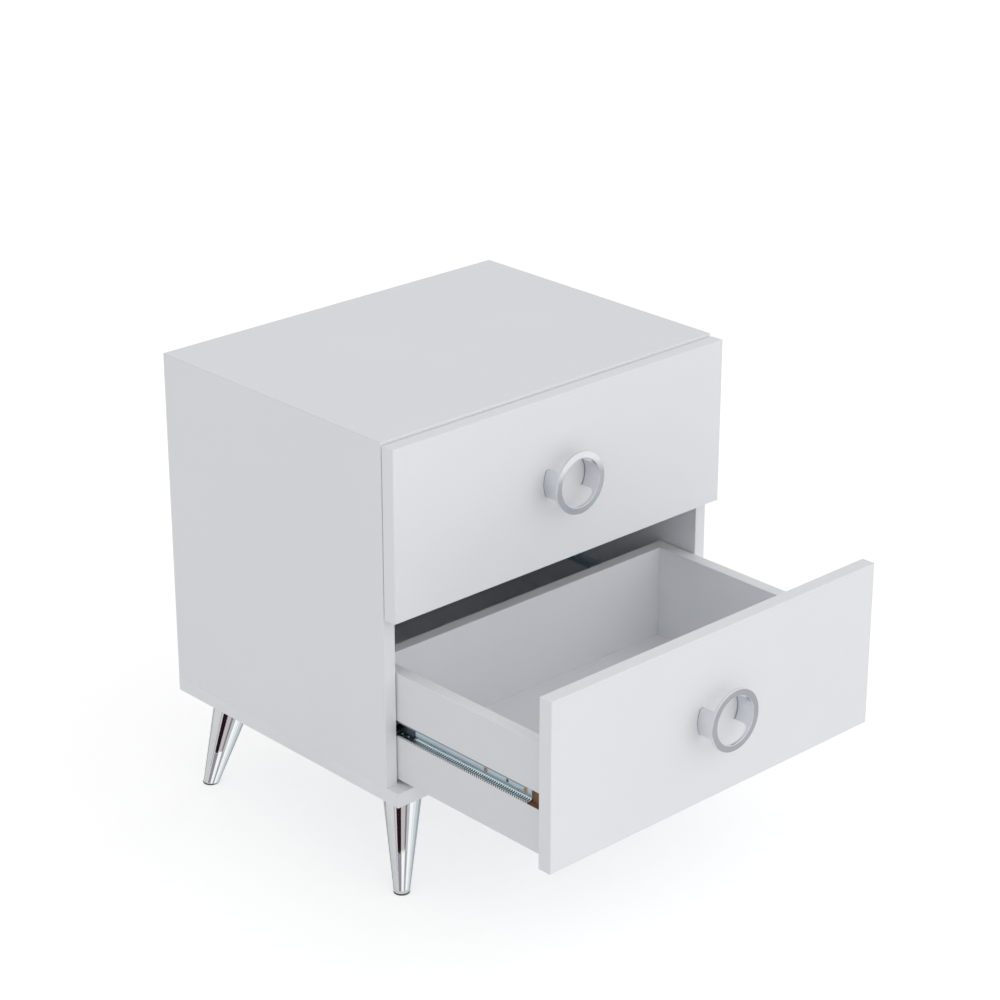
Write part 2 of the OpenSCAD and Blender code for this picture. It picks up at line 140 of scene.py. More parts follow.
class ShaderTree:
    """The node tree of one material."""

    def __init__(self, name: str) -> None:
        """Starts a material with an empty tree.

        Args:
            name: The material's name.
        """
        self.material = bpy.data.materials.new(name)
        self.material.use_nodes = True
        self._empty(self.material.node_tree)

    def _empty(self, tree: bpy.types.NodeTree) -> None:
        """Takes over a node tree and clears it."""
        self.links = tree.links
        self.nodes = tree.nodes
        self.nodes.clear()

    @classmethod
    def over(cls, tree: bpy.types.NodeTree) -> "ShaderTree":
        """An empty tree of something other than a material, such as the sky."""
        made = cls.__new__(cls)
        made._empty(tree)
        return made

    def node(self, kind: str, settings: dict | None = None, inputs: dict | None = None,
             output: int | str = 0) -> Signal:
        """Adds a node of any kind.

        Args:
            kind: The node's type name.
            settings: Its properties, with a ramp's stops under "stops".
            inputs: Values or signals by socket name or number.
            output: Which output the result stands for.

        Returns:
            The chosen output as a signal.
        """
        made = self.nodes.new(kind)
        for key, value in (settings or {}).items():
            if key == "stops":
                self._set_stops(made.color_ramp, value)
            else:
                setattr(made, key, value)
        for key, value in (inputs or {}).items():
            if isinstance(value, Signal):
                self.links.new(value.socket, made.inputs[key])
            else:
                made.inputs[key].default_value = value
        return Signal(self, made.outputs[output] if made.outputs else None)

    @staticmethod
    def _set_stops(ramp: bpy.types.ColorRamp, stops: Sequence[tuple[float, Colour]]) -> None:
        """Gives a colour ramp its stops."""
        while len(ramp.elements) < len(stops):
            ramp.elements.new(1.0)
        for element, (place, colour) in zip(ramp.elements, stops):
            element.position = place
            element.color = (*colour, 1.0)

    def place(self, scale: Sequence[float] = (1, 1, 1)) -> Signal:
        """Object coordinates, stretched along the axes.

        Args:
            scale: The factor on each axis.

        Returns:
            The mapped coordinates.
        """
        coords = self.node("ShaderNodeTexCoord", output="Object")
        return self.node("ShaderNodeMapping", inputs={"Vector": coords, "Scale": scale})

    def noise(self, scale: float, detail: float = 3, stretch: Sequence[float] = (1, 1, 1)) -> Signal:
        """Smooth noise from 0 to 1 over the piece.

        Args:
            scale: Features for each metre.
            detail: Octaves.
            stretch: Extra factor on each axis.

        Returns:
            The noise's value.
        """
        return self.node("ShaderNodeTexNoise", inputs={
            "Vector": self.place(stretch), "Scale": scale, "Detail": detail, "Roughness": 0.55})

    def ramp(self, value: Signal, *stops: tuple[float, Colour]) -> Signal:
        """A colour that follows a value through the given stops."""
        return self.node("ShaderNodeValToRGB", {"stops": stops}, {"Fac": value})

    def bump(self, height: Signal, distance: float, strength: float = 1.0) -> Signal:
        """A normal pushed by a height.

        Args:
            height: The height, from 0 to 1.
            distance: What a height of 1 stands for, in metres.
            strength: Share of the effect.

        Returns:
            The bumped normal.
        """
        return self.node("ShaderNodeBump", inputs={
            "Height": height, "Distance": distance, "Strength": strength})

    def surface(self, inputs: dict) -> bpy.types.Material:
        """Ends the tree in a Principled surface.

        Args:
            inputs: Values or signals of the Principled shader.

        Returns:
            The finished material.
        """
        shader = self.node("ShaderNodeBsdfPrincipled", inputs=inputs)
        self.node("ShaderNodeOutputMaterial", inputs={"Surface": shader})
        return self.material


# ---- Finishes -----------------------------------------------------------------------


def rgba(colour: Colour, factor: float = 1.0) -> tuple[float, float, float, float]:
    """A colour with its alpha, made lighter or darker.

    Args:
        colour: Red, green and blue.
        factor: What they are multiplied by.

    Returns:
        Red, green, blue and alpha.
    """
    return (*(min(1.0, c * factor) for c in colour), 1.0)


def shade_of(colour: Colour, factor: float) -> Colour:
    """The same colour, lighter or darker, without alpha."""
    return rgba(colour, factor)[:3]


@dataclass(frozen=True)
class Finish:
    """A finish: its name, its slot and how it is shaded."""

    name: str
    slot: str
    colour: Colour
    roughness: float = 0.4

    def shade(self, tree: ShaderTree) -> bpy.types.Material:
        """Builds the nodes; each finish has its own way."""
        raise NotImplementedError

    def material(self) -> bpy.types.Material:
        """The finish's material, made at its first use."""
        found = bpy.data.materials.get(self.name)
        return found or self.shade(ShaderTree(self.name))


@dataclass(frozen=True)
class Laminate(Finish):
    """Satin melamine face: fine pearl embossing and a faint cloudiness."""

    pearl: float = 1500.0
    depth: float = 0.00002

    def shade(self, tree: ShaderTree) -> bpy.types.Material:
        """Cloudy white with a pearl bump."""
        cloud = tree.noise(6, 2)
        pearl = tree.noise(self.pearl, 2)
        speck = tree.noise(420, 4)
        colour = tree.ramp(cloud * 0.6 + speck * 0.4,
                           (0.30, shade_of(self.colour, 0.985)), (0.70, shade_of(self.colour, 1.01)))
        return tree.surface({
            "Base Color": colour,
            "Roughness": self.roughness - 0.05 + 0.10 * speck,
            "Normal": tree.bump(pearl, self.depth, 0.35),
            "Specular IOR Level": 0.45})


@dataclass(frozen=True)
class Edging(Finish):
    """Plastic edging strip: smoother than the faces, with fine lengthwise draw marks."""

    def shade(self, tree: ShaderTree) -> bpy.types.Material:
        """Plain white plastic with faint lines from the extruder."""
        lines = tree.noise(900, 2, (1, 0.02, 0.02))
        cloud = tree.noise(30, 2)
        return tree.surface({
            "Base Color": tree.ramp(cloud, (0.3, shade_of(self.colour, 0.99)), (0.7, self.colour)),
            "Roughness": self.roughness - 0.03 + 0.06 * lines,
            "Normal": tree.bump(lines, 0.000015, 0.4)})


@dataclass(frozen=True)
class BareBoard(Finish):
    """Cut fibreboard, brown and matted."""

    def shade(self, tree: ShaderTree) -> bpy.types.Material:
        """Felted fibres in two browns."""
        fibre = tree.noise(1400, 5, (1, 0.35, 1))
        patch = tree.noise(160, 3)
        mix = fibre * 0.65 + patch * 0.35
        return tree.surface({
            "Base Color": tree.ramp(mix, (0.30, shade_of(self.colour, 0.55)), (0.52, self.colour),
                                    (0.72, shade_of(self.colour, 1.35))),
            "Roughness": self.roughness + 0.08 * fibre,
            "Normal": tree.bump(fibre, 0.0002, 0.7)})


@dataclass(frozen=True)
class Beech(Finish):
    """Turned beech with long grain and dark flecks."""

    def shade(self, tree: ShaderTree) -> bpy.types.Material:
        """Grain and flecks along the dowel's length."""
        grain = tree.noise(320, 4, (1, 1, 0.25))
        fleck = tree.noise(900, 2, (1, 1, 0.2)).above(0.62)
        mix = grain - 0.12 * fleck
        return tree.surface({
            "Base Color": tree.ramp(mix, (0.25, shade_of(self.colour, 0.6)), (0.60, self.colour)),
            "Roughness": self.roughness + 0.1 * grain,
            "Normal": tree.bump(grain, 0.0001, 0.5)})


@dataclass(frozen=True)
class Metal(Finish):
    """Plated or bare metal: wipe marks, a fine grain and a slight tint in patches."""

    grain: float = 900.0
    stretch: tuple[float, float, float] = (1, 1, 1)
    wear: float = 0.04
    depth: float = 0.00001
    patches: float = 0.04

    def shade(self, tree: ShaderTree) -> bpy.types.Material:
        """Metal with uneven polish."""
        grain = tree.noise(self.grain, 3, self.stretch)
        smear = tree.noise(28, 4)
        colour = tree.ramp(smear, (0.32, shade_of(self.colour, 1 - self.patches)),
                           (0.68, shade_of(self.colour, 1 + self.patches)))
        return tree.surface({
            "Base Color": colour,
            "Metallic": 1.0,
            "Roughness": self.roughness + self.wear * (smear + grain - 1.0),
            "Normal": tree.bump(grain, self.depth, 0.5)})


@dataclass(frozen=True)
class RibbedMetal(Finish):
    """Plated steel with fine ribs across its length, with painted shade in the furrows between them
    and painted highlights on the ribs.
    """

    pitch: float = 3.3 * MM

    def shade(self, tree: ShaderTree) -> bpy.types.Material:
        """Bright ribs and dark furrows in turn along Y: painted highlight and painted shade."""
        turns = 2 * math.pi / self.pitch
        along = tree.node("ShaderNodeSeparateXYZ", inputs={"Vector": tree.place()}, output="Y")
        rib = 0.5 + 0.5 * (along * turns).wave()
        smear = tree.noise(60, 3)
        return tree.surface({
            "Base Color": tree.ramp(rib + 0.3 * (smear - 0.5), (0.30, shade_of(self.colour, 0.13)),
                                    (0.62, self.colour), (0.95, shade_of(self.colour, 1.3))),
            "Metallic": 1.0,
            "Roughness": self.roughness + 0.1 * smear,
            "Normal": tree.bump(rib, 0.0003, 0.6)})


@dataclass(frozen=True)
class Plastic(Finish):
    """Moulded plastic or rubber with a spark-eroded grain."""

    grain: float = 2600.0
    see_through: float = 0.0

    def shade(self, tree: ShaderTree) -> bpy.types.Material:
        """Grained plastic, clear where the finish says so."""
        grain = tree.noise(self.grain, 2)
        dust = tree.noise(70, 4)
        return tree.surface({
            "Base Color": tree.ramp(dust, (0.35, self.colour), (0.8, shade_of(self.colour, 1.3))),
            "Roughness": self.roughness + 0.12 * dust,
            "Transmission Weight": self.see_through,
            "Normal": tree.bump(grain, 0.00004, 0.6)})


WHITE = (0.866, 0.880, 0.906)
LAMINATE = Laminate("satin_white_laminate", "white_laminate", WHITE, 0.42)
EDGING = Edging("white_edging_strip", "white_laminate", shade_of(WHITE, 1.015), 0.34)
# Darker copy of the white laminate: painted shade on the outer faces of the drawer sides.
BOX_SIDE_PAINTED_SHADE = Laminate("drawer_box_laminate", "white_laminate", shade_of(WHITE, 0.93), 0.42)
BACK_FOIL = Laminate("white_back_foil", "white_laminate", shade_of(WHITE, 0.95), 0.55,
                     pearl=700, depth=0.00006)
BARE_BOARD = BareBoard("raw_fibreboard", "bare_board", (0.26, 0.135, 0.075), 0.80)
BEECH = Beech("beech_dowel", "beech", (0.62, 0.43, 0.25), 0.55)
LEG_CHROME = Metal("leg_chrome", "chrome", (0.90, 0.92, 0.93), 0.06, grain=220,
                   stretch=(1, 1, 0.35), wear=0.02, depth=0.000012, patches=0.02)
PULL_CHROME = Metal("satin_pull_chrome", "chrome", (0.80, 0.815, 0.84), 0.09, grain=1600,
                    stretch=(1, 0.2, 1), wear=0.05)
# Darker copy of the pull chrome: painted shade where the pull's feet meet the front.
PULL_ROOT_PAINTED_SHADE = Metal("dull_pull_root", "chrome", (0.42, 0.43, 0.45), 0.30, grain=1600,
                  stretch=(1, 0.2, 1), wear=0.05)
RED_ZINC = Metal("star_screw_copper_zinc", "zinc_steel", (0.62, 0.36, 0.33), 0.32, grain=1200,
                 wear=0.10, patches=0.12)
BLUE_ZINC = Metal("blue_zinc_plate", "zinc_steel", (0.61, 0.74, 0.82), 0.30, grain=300,
                  stretch=(1, 0.08, 1), wear=0.06, depth=0.000004, patches=0.06)
# Darker copy of the blue zinc: painted shade in the drawer rail's crease and on its upper lip under
# the groove's edge.
CREASE_PAINTED_SHADE_ZINC = Metal("zinc_painted_shade", "zinc_steel", (0.36, 0.41, 0.43), 0.40,
                  stretch=(1, 0.1, 1), wear=0.08)
# Lighter copy of the blue zinc: painted highlight on the drawer rail's race below its crease.
RACE_PAINTED_HIGHLIGHT_ZINC = Metal("bright_race_zinc", "zinc_steel", (0.64, 0.83, 0.92), 0.24, grain=300,
                  stretch=(1, 0.08, 1), wear=0.06, depth=0.000004, patches=0.08)
# Ribbed race plating with painted shade in the furrows and painted highlights on the ribs.
RIBBED_ZINC_PAINTED_SHADE = RibbedMetal("ribbed_race_zinc", "zinc_steel", (0.84, 0.94, 0.98), 0.34)
YELLOW_ZINC = Metal("yellow_zinc_screw", "zinc_steel", (0.66, 0.42, 0.20), 0.30, grain=1200,
                    wear=0.10, patches=0.12)
CAGE_STEEL = Metal("dark_cage_steel", "slide_steel", (0.10, 0.12, 0.15), 0.34,
                   stretch=(1, 0.3, 1), wear=0.10)
GLIDE_PLASTIC = Plastic("grey_glide_plastic", "glide_plastic", (0.075, 0.085, 0.082), 0.42)
MILKY_RUBBER = Plastic("milky_bumper", "clear_bumper", (0.80, 0.82, 0.84), 0.30,
                       grain=1800, see_through=0.35)


# ---- Modelling ----------------------------------------------------------------------


class Workpiece:
    """A mesh shaped with modelling operators, always at its real size and place."""

    def __init__(self, name: str) -> None:
        """Takes the object that an operator has just added.

        Args:
            name: The piece's name.
        """
        self.obj = bpy.context.view_layer.objects.active
        self.obj.name = name
        self.obj.data.name = name
        bpy.ops.object.transform_apply(location=True, rotation=True, scale=True)

    @staticmethod
    def clear() -> None:
        """Deselects everything, so that an operator acts on one piece only."""
        bpy.ops.object.select_all(action="DESELECT")

    def take(self) -> "Workpiece":
        """Selects this piece alone and makes it active."""
        self.clear()
        self.obj.select_set(True)
        bpy.context.view_layer.objects.active = self.obj
        return self

    def _enter(self, kind: str = "EDGE", action: str = "SELECT") -> "Workpiece":
        """Goes into edit mode with all of the mesh selected, or nothing."""
        self.take()
        bpy.ops.object.mode_set(mode="EDIT")
        bpy.ops.mesh.select_mode(type=kind)
        bpy.ops.mesh.select_all(action=action)
        return self

    def _leave(self) -> "Workpiece":
        """Goes back to object mode."""
        bpy.ops.object.mode_set(mode="OBJECT")
        return self

    @classmethod
    def block(cls, name: str, low: Sequence[float], high: Sequence[float]) -> "Workpiece":
        """A block between two corners.

        Args:
            name: The piece's name.
            low: Its lowest corner.
            high: Its highest corner.

        Returns:
            The new piece.
        """
        low, high = Vector(low), Vector(high)
        cls.clear()
        bpy.ops.mesh.primitive_cube_add(size=1, location=(low + high) / 2, scale=high - low)
        return cls(name)

    @classmethod
    def rod(cls, name: str, start: Sequence[float], end: Sequence[float], radius: float,
            end_radius: float | None = None, sides: int = 48) -> "Workpiece":
        """A round or tapered rod between two points.

        Args:
            name: The piece's name.
            start: Centre of its first end.
            end: Centre of its last end.
            radius: Radius at the first end.
            end_radius: Radius at the last end, if it differs.
            sides: Number of faces round it.

        Returns:
            The new piece.
        """
        start, end = Vector(start), Vector(end)
        turn = (end - start).to_track_quat("Z", "Y").to_euler()
        cls.clear()
        bpy.ops.mesh.primitive_cone_add(
            vertices=sides, radius1=radius, radius2=radius if end_radius is None else end_radius,
            depth=(end - start).length, location=(start + end) / 2, rotation=turn)
        return cls(name)

    @classmethod
    def _outline(cls, name: str, points: Sequence[Vector], fill: str) -> "Workpiece":
        """A closed outline: a circle whose points are moved to their places.

        Args:
            name: The piece's name.
            points: The outline's points.
            fill: Whether the outline is a face or only edges.

        Returns:
            The new piece.
        """
        cls.clear()
        bpy.ops.mesh.primitive_circle_add(vertices=len(points), fill_type=fill)
        made = cls(name)
        for vertex, point in zip(made.obj.data.vertices, points):
            vertex.co = point
        return made._enter()

    @classmethod
    def extruded(cls, name: str, points: Sequence[Vector], run: Sequence[float]) -> "Workpiece":
        """A prism from an outline.

        Args:
            name: The piece's name.
            points: The outline's points.
            run: How far and which way it is extruded.

        Returns:
            The new piece.
        """
        made = cls._outline(name, points, "NGON")
        bpy.ops.mesh.extrude_region_move(TRANSFORM_OT_translate={"value": run})
        return made._leave().face_outwards()

    @classmethod
    def lathed(cls, name: str, points: Sequence[Vector], centre: Sequence[float],
               axis: Sequence[float], steps: int) -> "Workpiece":
        """A ring spun from an outline.

        Args:
            name: The piece's name.
            points: The outline's points.
            centre: A point on the axis.
            axis: The axis.
            steps: Faces round the ring.

        Returns:
            The new piece.
        """
        made = cls._outline(name, points, "NOTHING")
        bpy.ops.mesh.spin(steps=steps, angle=math.tau, center=centre, axis=axis)
        return made._leave().face_outwards()

    @classmethod
    def dome(cls, name: str, centre: Sequence[float], radii: Sequence[float]) -> "Workpiece":
        """A ball squeezed to three radii.

        Args:
            name: The piece's name.
            centre: Its centre.
            radii: Its radius along each axis.

        Returns:
            The new piece.
        """
        cls.clear()
        bpy.ops.mesh.primitive_uv_sphere_add(segments=32, ring_count=16, radius=1, location=centre,
                                             scale=radii)
        return cls(name)

    def _modify(self, kind: str, settings: dict) -> "Workpiece":
        """Adds a modifier, sets it and applies it."""
        self.take()
        made = self.obj.modifiers.new(kind.lower(), kind)
        for key, value in settings.items():
            setattr(made, key, value)
        bpy.ops.object.modifier_apply(modifier=made.name)
        return self

    def _combine(self, other: "Workpiece", operation: str) -> "Workpiece":
        """Boolean with another piece, which is used up."""
        self._modify("BOOLEAN", {"operation": operation, "object": other.obj, "solver": "EXACT"})
        bpy.data.objects.remove(other.obj)
        return self

    def cut(self, *cutters: "Workpiece") -> "Workpiece":
        """Takes the cutters' shapes out of this piece."""
        for cutter in cutters:
            self._combine(cutter, "DIFFERENCE")
        return self

    def fuse(self, *others: "Workpiece") -> "Workpiece":
        """Makes one solid of this piece and others."""
        for other in others:
            self._combine(other, "UNION")
        return self

    def slice(self, point: Sequence[float], away: Sequence[float]) -> "Workpiece":
        """Cuts the piece with a plane and drops the part on one side.

        Args:
            point: A point on the plane.
            away: The normal, towards the part that is dropped.

        Returns:
            This piece.
        """
        self._enter()
        bpy.ops.mesh.bisect(plane_co=point, plane_no=away, use_fill=True, clear_outer=True,
                            threshold=WELD)
        return self._leave()

    def recess(self, test: Test, border: float, move: Sequence[float]) -> "Workpiece":
        """Insets chosen faces and pushes them in or out.

        Args:
            test: Takes a face's centre and normal.
            border: Width of the rim that stays.
            move: Where the inner face goes.

        Returns:
            This piece.
        """
        self._enter("FACE", "DESELECT")._leave()
        for face in self.obj.data.polygons:
            face.select = test(face.center, face.normal)
        bpy.ops.object.mode_set(mode="EDIT")
        bpy.ops.mesh.inset(thickness=border, depth=0)
        bpy.ops.mesh.extrude_region_move(TRANSFORM_OT_translate={"value": move})
        return self._leave()

    def _pick_edges(self, test: Test) -> None:
        """Goes into edit mode with only those edges selected whose two ends pass a test."""
        self._enter("EDGE", "DESELECT")._leave()
        points = self.obj.data.vertices
        for edge in self.obj.data.edges:
            first, last = edge.vertices
            edge.select = test(points[first].co, points[last].co)
        bpy.ops.object.mode_set(mode="EDIT")

    def bevel_edges(self, test: Test, width: float, steps: int) -> "Workpiece":
        """Rounds chosen edges.

        Args:
            test: Takes an edge's two ends.
            width: How far the rounding reaches.
            steps: Faces across it.

        Returns:
            This piece.
        """
        self._pick_edges(test)
        bpy.ops.mesh.bevel(offset=width, segments=steps, affect="EDGES")
        return self._leave()

    def grid(self, *parts: int) -> "Workpiece":
        """Splits a block into equal parts along each axis.

        Args:
            parts: Number of parts along X, Y and Z.

        Returns:
            This piece.
        """
        for axis, count in enumerate(parts):
            self._pick_edges(lambda a, b: abs((b - a)[axis]) > 0.9 * (b - a).length)
            bpy.ops.mesh.subdivide(number_cuts=count - 1)
            self._leave()
        return self

    def face_outwards(self) -> "Workpiece":
        """Merges doubles and turns every face outwards."""
        self._enter()
        bpy.ops.mesh.remove_doubles(threshold=WELD)
        bpy.ops.mesh.normals_make_consistent(inside=False)
        return self._leave()

    def round_edges(self, radius: float, steps: int = 2, angle: float = 32.0) -> "Workpiece":
        """Rounds the sharp edges and evens the shading.

        Args:
            radius: Radius of the rounding.
            steps: Faces across it.
            angle: Edges sharper than this, in degrees, are rounded.

        Returns:
            This piece.
        """
        self._modify("BEVEL", {"width": radius, "segments": steps, "limit_method": "ANGLE",
                               "angle_limit": math.radians(angle), "use_clamp_overlap": True})
        return self.smooth()

    def smooth(self, angle: float = 40.0) -> "Workpiece":
        """Smooth shading over gentle angles, weighted so that flat faces stay flat."""
        self.take()
        bpy.ops.object.shade_smooth_by_angle(angle=math.radians(angle))
        return self._modify("WEIGHTED_NORMAL", {"keep_sharp": True})

    def copies(self, name: str, moves: Iterable[Sequence[float]]) -> "Workpiece":
        """Repeats the piece at several places and joins the copies; the first is used up.

        Args:
            name: The joined piece's name.
            moves: How far each copy is from this piece.

        Returns:
            The joined piece.
        """
        made = []
        for move in moves:
            twin = self.obj.copy()
            twin.data = self.obj.data.copy()
            twin.data.transform(Matrix.Translation(Vector(move)))
            bpy.context.scene.collection.objects.link(twin)
            made.append(twin)
        bpy.data.objects.remove(self.obj)
        self.obj = made[0]
        self.take()
        for twin in made[1:]:
            twin.select_set(True)
        bpy.ops.object.join()
        self.obj.name = name
        self.obj.data.name = name
        return self

    def dress(self, finish: Finish, *others: tuple[Finish, Test]) -> "Workpiece":
        """Gives the piece its finish, and some of its faces other ones.

        Args:
            finish: The finish of the piece.
            others: More finishes, each with a test on a face's centre and normal.

        Returns:
            This piece.
        """
        slots = self.obj.data.materials
        slots.clear()
        for each in (finish, *(other for other, _ in others)):
            slots.append(each.material())
        for face in self.obj.data.polygons:
            face.material_index = 0
            for index, (_, where) in enumerate(others, start=1):
                if where(face.center, face.normal):
                    face.material_index = index
        self.obj["finish_slot"] = finish.slot
        return self

    def deliver(self, body: str, *nodes: str) -> "Workpiece":
        """Hands the finished piece to its body.

        Args:
            body: The CAD body that it moves with.
            nodes: The CAD nodes that it stands for.

        Returns:
            This piece.
        """
        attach(self.obj, body)
        del self.obj["finish_slot"]
        if nodes:
            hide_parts(*nodes)
        log.info("%s on %s: %d faces", self.obj.name, body, len(self.obj.data.polygons))
        return self


# ---- Boards -------------------------------------------------------------------------


class Edge(Enum):
    """The six faces of a board, as an axis and a direction on it."""

    LEFT = (0, -1)
    RIGHT = (0, 1)
    FRONT = (1, -1)
    REAR = (1, 1)
    BOTTOM = (2, -1)
    TOP = (2, 1)


def corners(node: str) -> tuple[Vector, Vector]:
    """The lowest and highest corners of a CAD node at rest."""
    low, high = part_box(node)
    return Vector(low), Vector(high)


@dataclass
class Board:
    """A faced board whose edging strips are pieces of their own."""

    name: str
    body: str
    low: Vector
    high: Vector
    edges: Sequence[Edge] = ()
    planes: Sequence[tuple[Vector, Vector]] = ()
    strip: float = 1.0 * MM
    corner: float = 0.8 * MM
    joint: float = 0.12 * MM

    def lay_strips(self) -> "Board":
        """Makes each strip and draws the board's own box in behind it; the first is the longest.

        Returns:
            This board, with its box as small as its core.
        """
        self.low, self.high = self.low.copy(), self.high.copy()
        for edge in self.edges:
            axis, way = edge.value
            low, high = self.low.copy(), self.high.copy()
            if way < 0:
                high[axis] = self.low[axis] = low[axis] + self.strip
            else:
                low[axis] = self.high[axis] = high[axis] - self.strip
            face = low[axis] if way < 0 else high[axis]
            strip = Workpiece.block(f"{self.name}_{edge.name.lower()}_edging", low, high)
            self._trim(strip)
            half_run = max(high - low) / 2
            strip.bevel_edges(
                lambda a, b: abs(a[axis] - face) < self.joint and abs(b[axis] - face) < self.joint
                and (a - b).length > half_run, self.corner, 4)
            strip.bevel_edges(
                lambda a, b: abs(a[axis] - face) > self.strip * 0.95
                and abs(b[axis] - face) > self.strip * 0.95, self.joint, 1)
            strip.smooth().dress(EDGING).deliver(self.body)
        return self

    def _trim(self, piece: Workpiece) -> Workpiece:
        """Cuts a piece with the board's planes, each given by a point and the side that goes."""
        for point, away in self.planes:
            piece.slice(point, away)
        return piece

    def core(self) -> Workpiece:
        """The board itself, within its strips."""
        return self._trim(Workpiece.block(self.name, self.low, self.high))


# ---- Cabinet ------------------------------------------------------------------------


@dataclass
class Cabinet:
    """The mitred shell, its base and its back."""

    edge: float = 0.3 * MM
    rebate_depth: float = 4.9 * MM
    skin: float = 2 * MM
    cam_radius: float = 7.5 * MM
    cam_depth: float = 12.5 * MM
    cam_reach: float = 24 * MM
    cam_places: tuple[float, float] = (45 * MM, 320.5 * MM)
    low: Vector = field(default_factory=lambda: corners("left_side_panel")[0])
    high: Vector = field(default_factory=lambda: corners("right_side_panel")[1])

    def build(self) -> None:
        """Makes every panel of the shell."""
        self.top()
        for side in Side:
            self.side(side)
        self.base()
        self.back()

    def _panel(self, name: str, edges: Sequence[Edge], planes: Sequence[tuple[Vector, Vector]] = (),
               cutters: Sequence[Workpiece] = ()) -> None:
        """Makes a panel of the shell, with its rebate for the back.

        Args:
            name: The panel's name.
            edges: The edges that carry a strip.
            planes: The mitres, each a point and the side that goes.
            cutters: Spaces to take out of it.
        """
        piece = Board(name, CABINET, *corners(name), edges, planes).lay_strips().core()
        low, high = corners("back_panel")
        back_space = Workpiece.block("back_space", low, high + Vector((0, BOARD, 0)))
        piece.cut(back_space, *cutters).round_edges(self.edge)
        piece.dress(LAMINATE, (BARE_BOARD, self._is_cut_board)).deliver(CABINET, name)

    def _is_cut_board(self, centre: Vector, normal: Vector) -> bool:
        """True in the rebates and on the mitres, where the board's inside shows."""
        inner_x, inner_y, inner_z = self.high - Vector([self.skin] * 3)
        rebated = centre.y > self.high.y - self.rebate_depth and abs(normal.y) < 0.5
        rebated = rebated and abs(centre.x) < inner_x and centre.z < inner_z
        mitred = 0.5 < abs(normal.z) < 0.9 and 0.5 < abs(normal.x) < 0.9
        return rebated or (mitred and abs(centre.y) < inner_y)

    def top(self) -> None:
        """The top panel, mitred at both ends, with a strip along its front edge."""
        x, _, z = self.high
        mitres = [(Vector((side.value * x, 0, z)), Vector((side.value, 0, -1))) for side in Side]
        self._panel("top_panel", [Edge.FRONT], mitres)

    def side(self, side: Side) -> None:
        """A side panel, mitred at the top and drilled for its cams.

        Args:
            side: Left or right.
        """
        mitre = (Vector((side.value * self.high.x, 0, self.high.z)), Vector((-side.value, 0, 1)))
        cams = []
        for place in self.cam_places:
            mouth = Vector((side.value * (self.high.x - BOARD), self.low.y + place,
                            self.low.z + self.cam_reach))
            start = mouth - Vector((side.value * MM, 0, 0))
            end = mouth + Vector((side.value * self.cam_depth, 0, 0))
            cams.append(Workpiece.rod("cam_space", start, end, self.cam_radius))
        self._panel(f"{side.word}_side_panel", [Edge.FRONT], [mitre], cams)

    def base(self) -> None:
        """The base panel, with strips along its front and its sides."""
        self._panel("base_panel", [Edge.FRONT, Edge.LEFT, Edge.RIGHT])

    def back(self) -> None:
        """The thin back panel in its rebate."""
        low, high = corners("back_panel")
        piece = Workpiece.block("back_panel", low, high)
        piece.round_edges(self.edge).dress(BACK_FOIL).deliver(CABINET, "back_panel")


# ---- Legs ---------------------------------------------------------------------------


@dataclass
class Leg:
    """A splayed chrome leg with its glide."""

    front: bool
    side: Side
    top_inset: float = 48 * MM
    foot_inset: float = 23 * MM
    top_radius: float = 24.3 * MM
    foot_radius: float = 9.2 * MM
    glide_height: float = 1.6 * MM
    glide_rim: float = 0.2 * MM
    dish_border: float = 2.5 * MM
    dish_depth: float = 0.5 * MM
    over: float = 0.15

    @property
    def name(self) -> str:
        """Which leg it is, as in the names of nodes."""
        return f"{'front' if self.front else 'rear'}_{self.side.word}"

    def _centre(self, inset: float, height: float) -> Vector:
        """The leg's centre at a height, from its distance to the base's edges."""
        low, high = corners("base_panel")
        x = self.side.value * (high.x - inset)
        y = low.y + inset if self.front else high.y - inset
        return Vector((x, y, height))

    def ends(self) -> tuple[Vector, Vector]:
        """The leg's centre on the floor and under the base."""
        top = self._centre(self.top_inset, corners("base_panel")[0].z)
        return self._centre(self.foot_inset, 0), top

    def build(self) -> None:
        """Makes the tapered tube, cut level from a longer one, and the glide under it."""
        foot, top = self.ends()
        run = (foot - top) * self.over
        grow = (self.top_radius - self.foot_radius) * self.over
        tube = Workpiece.rod(f"{self.name}_leg", top - run, foot + run, self.top_radius + grow,
                             self.foot_radius - grow, 128)
        tube.slice(top, (0, 0, 1)).slice((0, 0, self.glide_height), (0, 0, -1))
        tube.round_edges(0.5 * MM, 3).dress(LEG_CHROME).deliver(CABINET, f"{self.name}_leg")
        self._glide(foot)

    def _glide(self, foot: Vector) -> None:
        """The glide: a thin rounded puck, dished from below."""
        radius = self.foot_radius + self.glide_rim
        top = foot + Vector((0, 0, self.glide_height))
        puck = Workpiece.rod(f"{self.name}_glide", foot, top, radius, sides=96)
        puck.recess(lambda centre, normal: normal.z < -0.9, self.dish_border, (0, 0, self.dish_depth))
        puck.round_edges(0.4 * MM, 3).dress(GLIDE_PLASTIC).deliver(CABINET, f"{self.name}_glide")


# ---- Slides -------------------------------------------------------------------------


Outline = list[tuple[float, float]]


def arc(centre: tuple[float, float], radius: float, start: float, end: float, steps: int) -> Outline:
    """Points along an arc, with angles in degrees.

    Args:
        centre: The arc's centre.
        radius: Its radius.
        start: First angle.
        end: Last angle.
        steps: Number of chords.

    Returns:
        The points from start to end.
    """
    angles = (math.radians(start + (end - start) * i / steps) for i in range(steps + 1))
    return [(centre[0] + radius * math.cos(a), centre[1] + radius * math.sin(a)) for a in angles]


